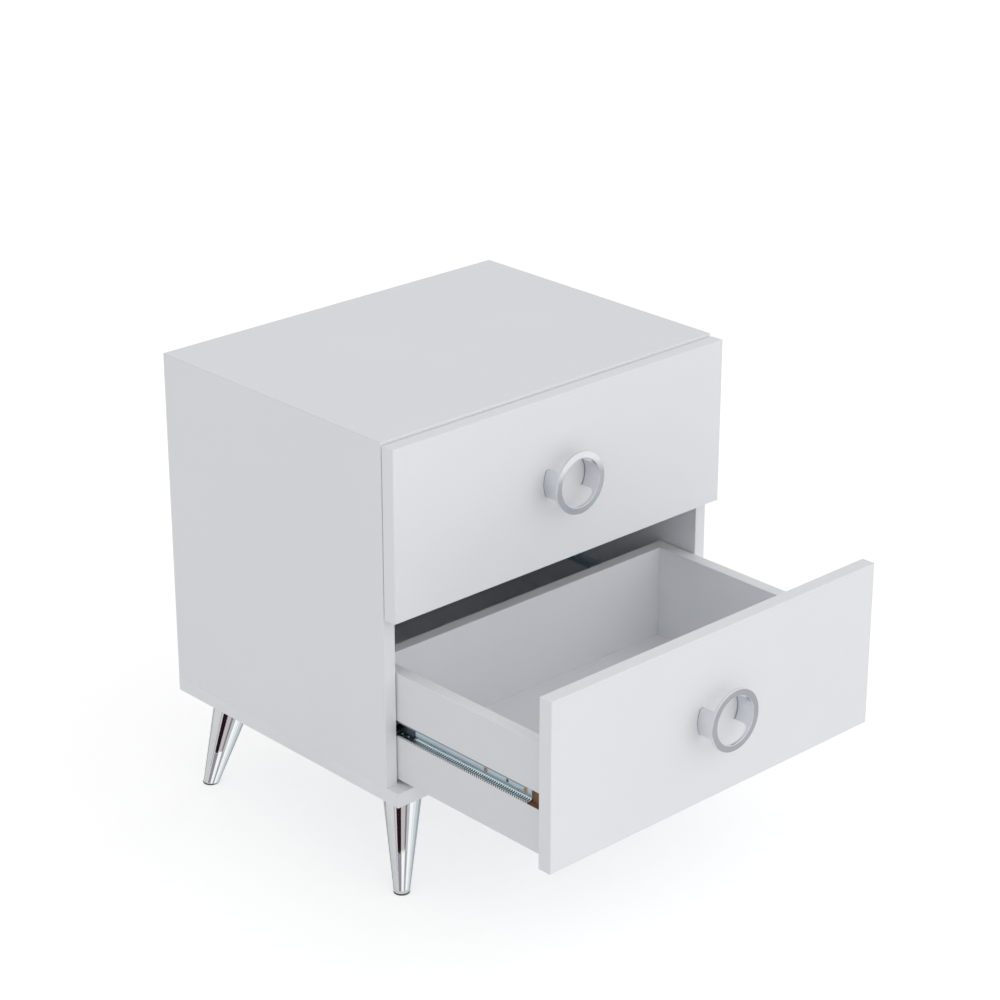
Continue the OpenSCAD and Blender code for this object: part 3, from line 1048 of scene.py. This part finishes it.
@dataclass
class Slide:
    """One ball slide: the rail on the cabinet, the ball cage and the rail in the drawer."""

    tier: Tier
    side: Side
    gauge: float = 1.1 * MM
    ball_radius: float = 1.4 * MM
    race_radius: float = 1.5 * MM
    balls: int = 7
    pitch: float = 10 * MM
    first_ball: float = 7.5 * MM
    ball_t: float = 6.2 * MM
    ball_z: float = 7.05 * MM
    half: float = 9.7 * MM
    cabinet_half: float = 5.8 * MM
    cage_half: float = 7.0 * MM
    bend: float = 4.3 * MM
    crease_z: float = -3.8 * MM
    crease_depth: float = 0.7 * MM
    depth: float = 10 * MM
    shallow: float = 1.8 * MM
    hook: float = 2.6 * MM
    lip: float = 1.8 * MM
    cabinet_web: float = 1.2 * MM
    cabinet_lip: float = 7.6 * MM
    cabinet_flange: float = 1.5 * MM
    cage_near: float = 4.2 * MM
    cage_far: float = 8.6 * MM
    cage_plate: float = 0.6 * MM
    burr: float = 0.15 * MM
    cabinet_slots: tuple[float, ...] = (60 * MM, 130 * MM, 200 * MM)
    drawer_slot: float = 202 * MM
    drawer_hole: float = 38 * MM
    screw_holes: tuple[float, ...] = (10 * MM, 72 * MM, 242 * MM)
    hole_radius: float = 2.1 * MM
    screw_radius: float = 3.15 * MM

    @property
    def name(self) -> str:
        """Which slide it is, as in the names of nodes."""
        return f"{self.tier.value}_{self.side.word}"

    def _face(self) -> float:
        """X of the cabinet's inner face, where t is zero."""
        return self.side.value * (corners("right_side_panel")[1].x - BOARD)

    def _point(self, t: float, y: float, z: float) -> Vector:
        """A point from its distance t off the cabinet's side.

        Args:
            t: Distance from the cabinet's inner face.
            y: Place along the slide.
            z: Height.

        Returns:
            The point in the frame.
        """
        return Vector((self._face() - self.side.value * t, y, z))

    def _rail(self, name: str, outline: Outline, low: Vector, high: Vector) -> Workpiece:
        """A rail of one section, from its outline in t and z.

        Args:
            name: The piece's name.
            outline: Closed outline, about the slide's middle.
            low: Lowest corner of the rail's CAD node.
            high: Its highest corner.

        Returns:
            The rail.
        """
        middle = (low.z + high.z) / 2
        points = [self._point(t, low.y, middle + z) for t, z in outline]
        return Workpiece.extruded(name, points, (0, high.y - low.y, 0))

    def cabinet_rail(self) -> None:
        """The narrow rail screwed to the cabinet's side, with its two ball races."""
        name = f"{self.name}_cabinet_rail"
        low, high = corners(name)
        half, web, lip = self.cabinet_half, self.cabinet_web, self.cabinet_lip
        inner = half - self.cabinet_flange
        race = math.degrees(math.asin((self.ball_z - half) / self.race_radius))
        lower = arc((self.ball_t, -self.ball_z), self.race_radius, 180 - race, race, 8)
        upper = arc((self.ball_t, self.ball_z), self.race_radius, -race, race - 180, 8)
        outline = [(0, -half), *lower, (lip, -half), (lip, -inner), (web, -inner),
                   (web, inner), (lip, inner), (lip, half), *upper, (0, half)]
        rail = self._rail(name, outline, low, high)
        for place in self.cabinet_slots:
            rail.cut(self._slot(low.y + place, (low.z + high.z) / 2, web))
        rail.round_edges(self.burr, 1).dress(BLUE_ZINC).deliver(CABINET, name)

    def _drawer_section(self) -> Outline:
        """The drawer rail's section: a creased web, two rolled flanges and their lips."""
        half, bend, gauge, notch = self.half, self.bend, self.gauge, self.crease_depth
        shallow, hook, lip = self.shallow, self.hook, self.lip
        face, turn, rise, inside = self.depth - gauge, self.depth - bend, half - bend, bend - gauge
        crease = [(face, self.crease_z + notch), (face + notch, self.crease_z),
                  (face, self.crease_z - notch)]
        outer = [(shallow, -half), *arc((turn, -rise), bend, -90, 0, 8),
                 *arc((turn, rise), bend, 0, 90, 8), (shallow, half)]
        inner = [(shallow, half - lip), (hook, half - lip), (hook, half - gauge),
                 *arc((turn, rise), inside, 90, 0, 8), *crease, *arc((turn, -rise), inside, 0, -90, 8),
                 (hook, -half + gauge), (hook, -half + lip), (shallow, -half + lip)]
        return outer + inner

    def drawer_rail(self) -> None:
        """The wide rail in the drawer's groove, finished by height with painted light: a painted
        highlight on the lower race, painted shade in the crease and on the upper lip, and ribs with
        painted shade between them.
        """
        name = f"{self.name}_drawer_rail"
        low, high = corners(name)
        middle = (low.z + high.z) / 2
        rail = self._rail(name, self._drawer_section(), low, high)
        rail.cut(self._drill(low.y + self.drawer_hole, middle, self.hole_radius))
        rail.cut(self._slot(low.y + self.drawer_slot, middle, self.depth))
        for place in self.screw_holes:
            rail.cut(self._drill(low.y + place, middle, self.screw_radius))
        ribs_z, crease_z = middle - self.half + self.bend * 0.55, middle + self.crease_z
        lip_z = middle + self.half - self.lip
        # Painted light by height: a painted highlight below the crease, painted shade in the crease
        # and on the upper lip, painted shade between the ribs.
        rail.round_edges(self.burr, 1).dress(
            BLUE_ZINC, (RACE_PAINTED_HIGHLIGHT_ZINC, lambda centre, normal: centre.z < crease_z),
            (CREASE_PAINTED_SHADE_ZINC, lambda centre, normal: abs(centre.z - crease_z) < 0.6 * self.crease_depth
             or (centre.z > lip_z and normal.x * self.side.value > 0.7)),
            (RIBBED_ZINC_PAINTED_SHADE, lambda centre, normal: centre.z < ribs_z))
        rail.deliver(self.tier.body, name)

    def _drill(self, y: float, z: float, radius: float) -> Workpiece:
        """A round cutter through the drawer rail's web."""
        start, end = (self._point(self.depth + reach, y, z) for reach in (-4 * MM, 4 * MM))
        return Workpiece.rod("drill", start, end, radius, sides=32)

    def _slot(self, y: float, z: float, t: float) -> Workpiece:
        """A cutter for an upright slot through a rail's web.

        Args:
            y: The slot's place along the slide.
            z: The slide's middle.
            t: Where the web is.

        Returns:
            The cutter.
        """
        reach, radius, depth = 3 * MM, 1.5 * MM, 6 * MM
        points = arc((y, z + reach), radius, 0, 180, 8) + arc((y, z - reach), radius, 180, 360, 8)
        loop = [self._point(t - depth / 2, *spot) for spot in points]
        return Workpiece.extruded("slot", loop, (-self.side.value * depth, 0, 0))

    def ball_cage(self) -> None:
        """The pressed cage with its two rows of steel balls."""
        name = f"{self.name}_ball_cage"
        low, high = corners(name)
        middle = (low.z + high.z) / 2
        half, near, far, plate = self.cage_half, self.cage_near, self.cage_far, self.cage_plate
        outline = [(near, -half), (far, -half), (far, half), (near, half), (near, half - plate),
                   (far - plate, half - plate), (far - plate, -half + plate), (near, -half + plate)]
        cage = self._rail(name, outline, low, high)
        cage.round_edges(self.burr, 1).dress(CAGE_STEEL).deliver(name, name)
        places = [(low.y + self.first_ball + i * self.pitch, middle + sign * self.ball_z)
                  for i in range(self.balls) for sign in (-1, 1)]
        first = self._point(self.ball_t, *places[0])
        ball = Workpiece.dome(f"{name}_ball", first, [self.ball_radius] * 3).smooth()
        balls = ball.copies(f"{name}_balls", [self._point(self.ball_t, *p) - first for p in places])
        balls.dress(BLUE_ZINC).deliver(name)

    def build(self) -> None:
        """Makes the three parts of the slide."""
        self.cabinet_rail()
        self.drawer_rail()
        self.ball_cage()


# ---- Drawers ------------------------------------------------------------------------


@dataclass
class RingPull:
    """A cast ring on two curved feet, one solid."""

    tier: Tier
    radius: float = 37 * MM
    hole_radius: float = 29 * MM
    foot_outer: float = 34 * MM
    foot_inner: float = 29.5 * MM
    rim: float = 4 * MM
    rim_round: float = 0.6 * MM
    foot_half: float = 16 * MM
    flare: float = 8 * MM
    blend: float = 3 * MM
    overlap: float = 1.3 * MM
    # root and inner_root: widths of the painted shade band at the feet's root, outside and inside.
    root: float = 0.9 * MM
    inner_root: float = 1.9 * MM
    back_round: float = 0.4 * MM
    foot_round: float = 0.7 * MM
    rows: int = 24
    columns: int = 20

    def build(self) -> None:
        """Makes the ring, bends two feet under it and fuses them."""
        name = f"{self.tier.value}_ring_pull"
        low, high = corners(name)
        self.centre = Vector(((low.x + high.x) / 2, high.y, (low.z + high.z) / 2))
        self.reach = high.y - low.y
        ring = self._ring(name)
        ring.fuse(self._foot(Side.LEFT), self._foot(Side.RIGHT))
        # Faces at the feet's root get the darker chrome: painted shade against the front.
        ring.smooth(50).dress(PULL_CHROME, (PULL_ROOT_PAINTED_SHADE, self._is_root)).deliver(self.tier.body, name)

    def _is_root(self, centre: Vector, normal: Vector) -> bool:
        """True beside the front, in the band of painted shade at the feet's root; it reaches further
        up inside.
        """
        hub = Vector((self.centre.x, centre.y, self.centre.z))
        inside = normal.dot(hub - centre) > 0
        return self.centre.y - centre.y < (self.inner_root if inside else self.root)

    def _ring(self, name: str) -> Workpiece:
        """The flat ring with rounded rims, spun about the pull's own axis.

        Args:
            name: The piece's name.

        Returns:
            The ring.
        """
        back, face = self.reach - self.rim, self.reach
        r, soft, far, near = self.rim_round, self.back_round, self.radius, self.hole_radius
        section = [*arc((near + soft, back + soft), soft, 180, 270, 3),
                   *arc((far - soft, back + soft), soft, 270, 360, 3),
                   *arc((far - r, face - r), r, 0, 90, 6), *arc((near + r, face - r), r, 90, 180, 6)]
        points = [self.centre + Vector((radius, -depth, 0)) for radius, depth in section]
        return Workpiece.lathed(name, points, self.centre, (0, 1, 0), 160)

    def _foot(self, side: Side) -> Workpiece:
        """A foot: a fine block bent round the axis, flared where it meets the ring.

        Args:
            side: Left or right foot.

        Returns:
            The foot.
        """
        foot = Workpiece.block("foot", (-1, 0, 0), (1, 1, 1)).grid(self.columns, self.rows, 3)
        depth = self.reach - self.rim + self.overlap
        for vertex in foot.obj.data.vertices:
            across, along, out = vertex.co
            y = along * depth
            radius = self.foot_inner + out * (self._outer_at(y) - self.foot_inner)
            height = across * self._half_at(y)
            x = math.sqrt(radius ** 2 - height ** 2) * side.value
            vertex.co = self.centre + Vector((x, -y, height))
        return foot.face_outwards().bevel_edges(self._runs_along_corner, self.foot_round, 3)

    def _runs_along_corner(self, start: Vector, end: Vector) -> bool:
        """True for an edge along one of a foot's four corners."""
        return self._at_corner(start) and self._at_corner(end) and abs(start.y - end.y) > 0.1 * MM

    def _at_corner(self, point: Vector) -> bool:
        """True where a foot's upper or lower end meets its inner or outer round."""
        out = self.centre.y - point.y
        radius = math.hypot(point.x - self.centre.x, point.z - self.centre.z)
        at_end = abs(abs(point.z - self.centre.z) - self._half_at(out)) < TOUCH
        return at_end and min(abs(radius - self.foot_inner), abs(radius - self._outer_at(out))) < TOUCH

    def _half_at(self, y: float) -> float:
        """Half the foot's height at a depth: straight, then a quarter round."""
        into = min(max(y - (self.reach - self.rim - self.flare), 0), self.flare)
        return self.foot_half + self.flare - math.sqrt(self.flare ** 2 - into ** 2)

    def _outer_at(self, y: float) -> float:
        """The foot's outer radius at a depth, growing to the ring's."""
        into = min(max(y - (self.reach - self.rim - self.blend), 0), self.blend * 0.98)
        return self.foot_outer + self.blend - math.sqrt(self.blend ** 2 - into ** 2)


@dataclass(frozen=True)
class RailScrew:
    """A countersunk screw with a cross in its head."""

    radius: float = 3 * MM
    shank: float = 1.75 * MM
    length: float = 7.4 * MM
    cross_half: float = 2 * MM
    cross_half_width: float = 0.45 * MM
    cross_depth: float = 0.8 * MM
    burr: float = 0.12 * MM

    def shape(self, name: str, face: Vector, side: Side) -> Workpiece:
        """Makes one screw: a cone, its narrow end drawn out, and a cross cut into its face.

        Args:
            name: The screw's name.
            face: Centre of the head's face.
            side: Which way the head looks.

        Returns:
            The screw.
        """
        inwards = Vector((-side.value, 0, 0))
        taper = self.radius - self.shank
        screw = Workpiece.rod(name, face, face + inwards * taper, self.radius, self.shank)
        screw.recess(lambda _, normal: normal.dot(inwards) > 0.9, 0, inwards * (self.length - taper))
        screw.face_outwards()
        long, thin = self.cross_half, self.cross_half_width
        for y, z in ((long, thin), (thin, long)):
            reach = Vector((self.cross_depth, y, z))
            screw.cut(Workpiece.block("cross", face - reach, face + reach))
        return screw.round_edges(self.burr, 1)


@dataclass
class Drawer:
    """A drawer: its front, its grooved box, its pull and its small fittings."""

    tier: Tier
    edge: float = 0.25 * MM
    strip_edge: float = 0.12 * MM
    shell: float = 0.4 * MM
    groove_height: float = 19.6 * MM
    groove_depth: float = 8.5 * MM
    cam_radius: float = 7.5 * MM
    cam_depth: float = 12.5 * MM
    cam_reach: float = 24 * MM
    cam_margin: float = 28 * MM
    bumper_radius: float = 4 * MM
    screw_gap: float = 62 * MM

    @property
    def body(self) -> str:
        """The body that everything here rides on."""
        return self.tier.body

    def build(self) -> None:
        """Makes the drawer's boards, its pull and its fittings."""
        self.front()
        for side in Side:
            self.side(side)
        self.back()
        self.bottom()
        RingPull(self.tier).build()
        self.bumpers()
        self.rail_screws()

    def front(self) -> None:
        """The front, with edging on all four edges."""
        name = f"{self.body}_front"
        edges = [Edge.TOP, Edge.BOTTOM, Edge.LEFT, Edge.RIGHT]
        piece = Board(name, self.body, *corners(name), edges).lay_strips().core()
        piece.round_edges(self.strip_edge, 1).dress(LAMINATE).deliver(self.body, name)

    def side(self, side: Side) -> None:
        """A side with its slide groove, whose cut faces are raw board.

        Args:
            side: Left or right.
        """
        name = f"{self.body}_{side.word}_side"
        low, high = corners(name)
        middle = sum(c.z for c in corners(f"{self.tier.value}_{side.word}_drawer_rail")) / 2
        half = self.groove_height / 2
        piece = Board(name, self.body, low, high, [Edge.TOP]).lay_strips().core()
        outer = high.x if side is Side.RIGHT else low.x
        inner = outer - side.value * BOARD
        floor = outer - side.value * self.groove_depth
        reach = outer + side.value * MM
        piece.cut(Workpiece.block(
            "groove_space", (min(floor, reach), low.y - MM, middle - half),
            (max(floor, reach), high.y + MM, middle + half)))
        for z in (low.z + self.cam_margin, high.z - self.cam_margin):
            start = Vector((inner - side.value * MM, low.y + self.cam_reach, z))
            end = Vector((inner + side.value * self.cam_depth, start.y, z))
            piece.cut(Workpiece.rod("cam_space", start, end, self.cam_radius))

        def in_groove(centre: Vector, _: Vector) -> bool:
            """True on the groove's floor and its two walls, a little way from its mouth."""
            inwards = (outer - centre.x) * side.value
            return (abs(centre.z - middle) < half + self.shell
                    and self.shell < inwards < self.groove_depth + self.shell
                    and low.y + MM < centre.y < high.y - MM)

        # The outer face of each drawer side gets the darker laminate: painted shade.
        shaded_outside = (BOX_SIDE_PAINTED_SHADE, lambda centre, normal: normal.x * side.value > 0.9)
        piece.round_edges(self.edge).dress(LAMINATE, shaded_outside, (BARE_BOARD, in_groove))
        piece.deliver(self.body, name)

    def back(self) -> None:
        """The back between the sides, with edging on top."""
        name = f"{self.body}_back"
        piece = Board(name, self.body, *corners(name), [Edge.TOP]).lay_strips().core()
        piece.round_edges(self.edge).dress(LAMINATE).deliver(self.body, name)

    def bottom(self) -> None:
        """The thin bottom, as far as its grooves in the sides."""
        name = f"{self.body}_bottom"
        piece = Workpiece.block(name, *corners(name))
        piece.round_edges(self.edge).dress(LAMINATE).deliver(self.body, name)

    def bumpers(self) -> None:
        """Four milky domes stuck to the back of the front."""
        name = f"{self.tier.value}_front_bumpers"
        low, high = corners(name)
        radius = self.bumper_radius
        first = Vector((low.x + radius, low.y, low.z + radius))
        dome = Workpiece.dome("bumper", first, (radius, high.y - low.y, radius))
        dome.slice(first, (0, -1, 0)).smooth()
        across, up = high.x - low.x - 2 * radius, high.z - low.z - 2 * radius
        moves = [(x, 0, z) for x in (0, across) for z in (0, up)]
        dome.copies(name, moves).dress(MILKY_RUBBER).deliver(self.body, name)

    def rail_screws(self) -> None:
        """The screws that hold the rails in their grooves, three in each."""
        name = f"{self.tier.value}_drawer_rail_screws"
        low, high = corners(name)
        screw = RailScrew()
        first = low.y + screw.radius
        spots = ((first, YELLOW_ZINC), (first + self.screw_gap, RED_ZINC),
                 (high.y - screw.radius, YELLOW_ZINC))
        for index, (y, finish) in enumerate(spots):
            for side in Side:
                face = Vector((high.x if side is Side.RIGHT else low.x, y, (low.z + high.z) / 2))
                piece = screw.shape(f"{name}_{side.word}_{index + 1}", face, side).dress(finish)
                piece.deliver(self.body, *([name] if index == 0 and side is Side.LEFT else []))


# ---- Fittings that keep their CAD shape ---------------------------------------------


@dataclass(frozen=True)
class Fittings:
    """The nodes whose shape stays as it is, and their finishes."""

    finishes: tuple[tuple[str, Finish], ...]

    def build(self) -> None:
        """Gives each node its finish."""
        for name, finish in self.finishes:
            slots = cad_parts[name].data.materials
            slots.clear()
            slots.append(finish.material())
            log.info("%s keeps its shape, finished in %s", name, finish.name)


def kept_fittings() -> Fittings:
    """The hidden and small fittings of the cabinet and of both drawers."""
    rows = [("left_mitre_spline", BARE_BOARD), ("right_mitre_spline", BARE_BOARD),
            ("base_dowels", BEECH), ("base_cams", BLUE_ZINC), ("base_cam_bolts", YELLOW_ZINC),
            ("back_panel_screws", BLUE_ZINC), ("leg_studs", BLUE_ZINC), ("leg_inserts", YELLOW_ZINC),
            ("cabinet_rail_screws", BLUE_ZINC)]
    for tier in Tier:
        rows += [(f"{tier.value}_pull_screws", BLUE_ZINC), (f"{tier.body}_cams", BLUE_ZINC),
                 (f"{tier.body}_cam_bolts", YELLOW_ZINC), (f"{tier.body}_dowels", BEECH)]
    return Fittings(tuple(rows))


# ---- Studio -------------------------------------------------------------------------


@dataclass(frozen=True)
class Streak:
    """A painted reflection streak on a leg, made by a glowing card: left to right from -1 to 1, low to
    high from 0 to 1, and its glow.
    """

    left: float
    right: float
    low: float
    high: float
    glow: Colour


# Glowing cards that paint reflections onto the chrome legs: dark ones paint dark streaks, bright ones
# painted highlights.
PAINTED_LEG_REFLECTIONS = (
    Streak(-0.985, -0.88, 0.02, 1.0, (0.42, 0.45, 0.46)),
    Streak(-0.33, -0.05, 0.02, 0.38, (0.30, 0.28, 0.31)),
    Streak(-0.02, 0.21, 0.02, 0.40, (1.0, 1.0, 1.0)),
    Streak(0.25, 0.37, 0.02, 0.40, (0.36, 0.36, 0.38)),
    Streak(-0.46, -0.38, 0.20, 1.0, (0.48, 0.48, 0.50)),
    Streak(-0.32, -0.06, 0.38, 1.0, (0.018, 0.008, 0.011)),
    Streak(-0.06, 0.17, 0.40, 1.0, (0.56, 0.51, 0.53)),
    Streak(0.17, 0.27, 0.40, 1.0, (0.22, 0.20, 0.21)),
    Streak(0.42, 0.58, 0.02, 1.0, (0.98, 1.0, 1.0)),
    Streak(0.58, 0.72, 0.02, 1.0, (0.80, 0.83, 0.85)),
    Streak(0.72, 0.86, 0.02, 1.0, (0.60, 0.64, 0.67)),
    Streak(0.86, 0.985, 0.02, 1.0, (0.38, 0.41, 0.43)),
    Streak(0.27, 0.40, 0.40, 1.0, (0.54, 0.53, 0.56)))


@dataclass
class Studio:
    """Floor, camera, sky and the glowing cards that paint reflections onto the chrome."""

    lens: float = 99.84
    eye: tuple[float, float, float] = (-2.0098, -2.1153, 1.6320)
    turn: float = -42.988
    dip: float = 22.851
    floor_radius: float = 40.0
    floor_glow: float = 0.10
    floor_lift: float = 0.34
    card_steps: int = 8
    sky_level: float = 0.745
    sky_lift: float = 0.5
    key_level: float = 0.58
    overhead_dip: float = 0.20
    key_from: tuple[float, float, float] = (0.45, -0.85, 0.28)

    def build(self) -> None:
        """Sets up everything that isn't part of the object."""
        self.camera()
        self.floor()
        self.flags()
        self.sky()
        bpy.context.scene.view_settings.view_transform = "Standard"

    def camera(self) -> None:
        """A long lens from the front left, above the top, level in roll."""
        Workpiece.clear()
        turn = Euler((math.radians(90 - self.dip), 0, math.radians(self.turn)))
        bpy.ops.object.camera_add(location=self.eye, rotation=turn)
        eye = bpy.context.object
        eye.name = "camera"
        eye.data.lens = self.lens
        eye.data.sensor_width = 36
        eye.data.clip_end = 200
        bpy.context.scene.camera = eye

    def floor(self) -> None:
        """A wide pale floor that the camera sees a little brighter than the room does."""
        Workpiece.clear()
        bpy.ops.mesh.primitive_circle_add(vertices=128, radius=self.floor_radius, fill_type="NGON")
        floor = Workpiece("floor")
        tree = ShaderTree("pale_floor")
        cloud = tree.noise(0.8, 2)
        seen = tree.node("ShaderNodeLightPath", output="Is Camera Ray")
        floor.obj.data.materials.append(tree.surface({
            "Base Color": tree.ramp(cloud, (0.3, (0.80, 0.80, 0.80)), (0.7, (0.82, 0.82, 0.82))),
            "Roughness": 0.9, "Specular IOR Level": 0.1,
            "Emission Color": tree.ramp(seen, (0.0, (self.floor_glow,) * 3),
                                        (1.0, (self.floor_glow + self.floor_lift,) * 3)),
            "Emission Strength": 1.0}))

    def flags(self) -> None:
        """Flat glowing cards on the floor that only polished metal sees: painted reflections on the
        legs and the pulls.
        """
        for front in (True, False):
            leg = Leg(front, Side.LEFT)
            for index, streak in enumerate(PAINTED_LEG_REFLECTIONS):
                tall = streak.high - streak.low
                steps = [streak.low + tall * i / self.card_steps for i in range(self.card_steps + 1)]
                points = [self._mirrored(leg, streak.left, up) for up in steps]
                points += [self._mirrored(leg, streak.right, up) for up in reversed(steps)]
                self._card(f"{leg.name}_card_{index}", points, index, streak.glow)
        # Two glowing floor cards that paint reflections onto the ring pulls: a grey one near and a
        # bright one far.
        for name, near, far, glow in (("near", -0.50, -0.85, (0.50, 0.50, 0.53)),
                                      ("far", -0.85, -1.8, (1.05, 1.08, 1.08))):
            spots = ((0.10, far), (1.30, far), (1.30, near), (0.10, near))
            self._card(f"{name}_floor_card", [Vector((x, y, 0)) for x, y in spots], 0, glow)

    def _mirrored(self, leg: Leg, across: float, up: float) -> Vector:
        """The floor point that a leg mirrors to the camera.

        Args:
            leg: The leg.
            across: Place across it, from -1 at its left rim to 1 at its right.
            up: Place along it, from 0 at the floor to 1 at the base.

        Returns:
            The point on the floor.
        """
        foot, top = leg.ends()
        axis = (top - foot).normalized()
        centre = foot.lerp(top, up)
        sight = Vector(self.eye) - centre
        ahead = (sight - axis * sight.dot(axis)).normalized()
        outwards = ahead * math.sqrt(1 - across ** 2) + axis.cross(ahead) * across
        grown = leg.top_radius - leg.foot_radius
        point = centre + outwards * (leg.foot_radius + grown * up)
        normal = (outwards - axis * (grown / (top - foot).length)).normalized()
        ray = (point - Vector(self.eye)).normalized().reflect(normal)
        return point + ray * (point.z / max(-ray.z, 0.02))

    @staticmethod
    def _card(name: str, points: Sequence[Vector], layer: int, glow: Colour) -> None:
        """Lays a glowing card on the floor, a painted reflection, and hides it from all but glossy
        rays.

        Args:
            name: The card's name.
            points: Its corners.
            layer: Its place in the stack.
            glow: Its colour and strength.
        """
        lift = Vector((0, 0, 0.0002 + 0.0001 * layer))
        card = Workpiece.extruded(name, [point + lift for point in points], (0, 0, 0.00005))
        tree = ShaderTree(name)
        card.obj.data.materials.append(tree.surface({
            "Base Color": (0, 0, 0, 1), "Roughness": 1.0, "Specular IOR Level": 0.0,
            "Emission Color": rgba(glow), "Emission Strength": 1.0}))
        for rays in ("camera", "diffuse", "shadow", "transmission"):
            setattr(card.obj, f"visible_{rays}", False)

    def sky(self) -> None:
        """A white room, brighter towards the front right."""
        world = bpy.data.worlds.new("studio")
        world.use_nodes = True
        bpy.context.scene.world = world
        tree = ShaderTree.over(world.node_tree)
        heading = tree.node("ShaderNodeTexCoord", output="Generated")
        key = Vector(self.key_from).normalized()
        facing = tree.node("ShaderNodeVectorMath", {"operation": "DOT_PRODUCT"},
                           {0: heading, 1: key}, "Value")
        lobe = tree.node("ShaderNodeMath", {"operation": "MAXIMUM"}, {0: facing, 1: 0.0})
        height = tree.node("ShaderNodeSeparateXYZ", inputs={"Vector": heading}, output="Z")
        seen = tree.node("ShaderNodeLightPath", output="Is Camera Ray")
        level = self.sky_level + self.key_level * (lobe * lobe) - self.overhead_dip * (height * height)
        shade = tree.node("ShaderNodeBackground", inputs={
            "Color": (1, 1, 1, 1), "Strength": level + self.sky_lift * seen})
        tree.node("ShaderNodeOutputWorld", inputs={"Surface": shade})


# ---- Main ---------------------------------------------------------------------------


def main() -> None:
    """Builds the studio and every sub-assembly in order."""
    logging.basicConfig(level=logging.INFO, format="%(name)s: %(message)s")
    Studio().build()
    Cabinet().build()
    for front in (True, False):
        for side in Side:
            Leg(front, side).build()
    for tier in Tier:
        Drawer(tier).build()
        for side in Side:
            Slide(tier, side).build()
    kept_fittings().build()


if __name__ == "__main__":
    main()
